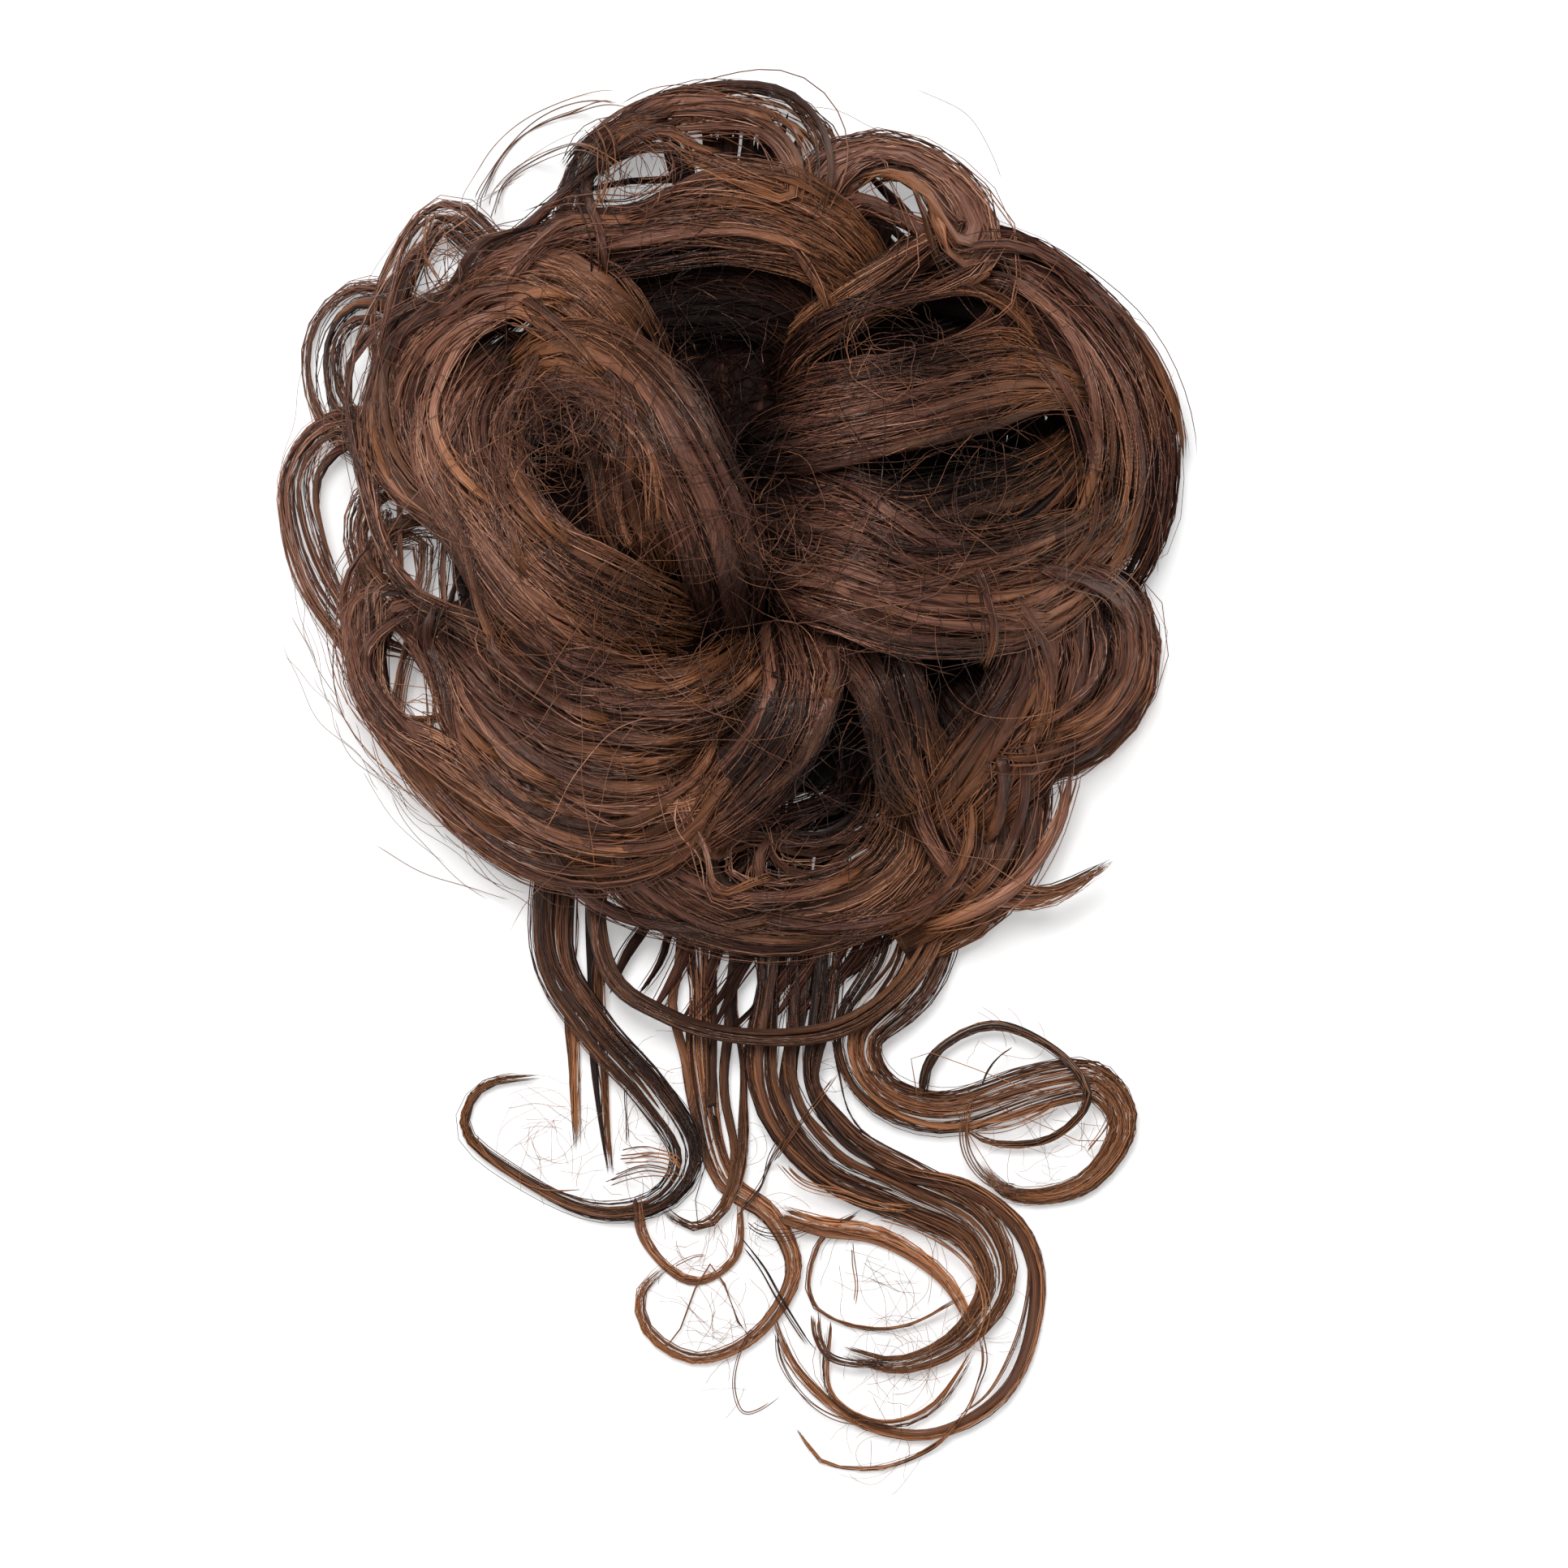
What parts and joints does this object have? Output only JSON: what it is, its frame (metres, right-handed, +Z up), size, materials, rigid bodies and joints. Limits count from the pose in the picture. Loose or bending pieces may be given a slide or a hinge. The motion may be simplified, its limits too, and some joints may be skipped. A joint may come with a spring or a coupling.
{
  "type": "top knot hairpiece",
  "caption": "Messy top knot hairpiece of wavy brown locks gathered round an elastic band, with loose curled tendrils at its lower edge.",
  "frame": {"origin": "under the middle of the whole piece's outline, on the surface it lies on", "axes": "+Z up from the surface, out of the bun's front; +Y from the tendrils up to the crown of the bun; +X to the right as the front is seen"},
  "size_m": [0.15, 0.231, 0.0548],
  "materials": {
    "brown_hair": "satin, reddish dark brown fibres lying along each lock",
    "light_brown_hair": "satin, lighter ginger brown fibres",
    "under_hair": "satin, near black brown in the shade between the locks",
    "elastic": "matt, finely ribbed black elastic tape"
  },
  "bodies": {
    "root": {"bottom_sweep": "brown_hair", "bottom_sweep_upper": "brown_hair", "centre_deep": "brown_hair", "crown_left_arch": "brown_hair", "crown_middle": "brown_hair", "elastic_band": "elastic", "left_sweep": "brown_hair", "low_right_lobe": "brown_hair", "lower_rim": "brown_hair", "lower_sweep_inner": "brown_hair", "lower_sweep_middle": "brown_hair", "lower_sweep_outer": "brown_hair", "mid_fall_left": "brown_hair", "mid_fall_right": "brown_hair", "petal_low": "brown_hair", "petal_low_inner": "brown_hair", "petal_middle": "brown_hair", "petal_top": "brown_hair", "right_big": "brown_hair", "right_fall": "brown_hair", "right_inner_high": "brown_hair", "right_inner_lower": "brown_hair", "right_inner_middle": "brown_hair", "right_inner_upper": "brown_hair", "right_lower_lobe": "brown_hair", "ring_right": "light_brown_hair", "ring_small": "light_brown_hair", "ring_tail_end": "light_brown_hair", "ring_tail_inner": "light_brown_hair", "ring_tail_lower": "light_brown_hair", "rosette_eye": "brown_hair", "rosette_left": "brown_hair", "rosette_right": "brown_hair", "strand_left": "light_brown_hair", "strand_left_fine": "light_brown_hair", "tail_light": "light_brown_hair", "tail_main": "light_brown_hair", "tail_outer": "light_brown_hair", "tendril_cross": "light_brown_hair", "tendril_left": "light_brown_hair", "tendril_middle": "light_brown_hair", "tendril_middle_fine": "light_brown_hair", "tendril_right": "light_brown_hair", "top_arch": "brown_hair", "top_band": "brown_hair", "top_right_lobe": "brown_hair", "weft_base": "under_hair", "wisp": "brown_hair"}
  },
  "joints": []
}
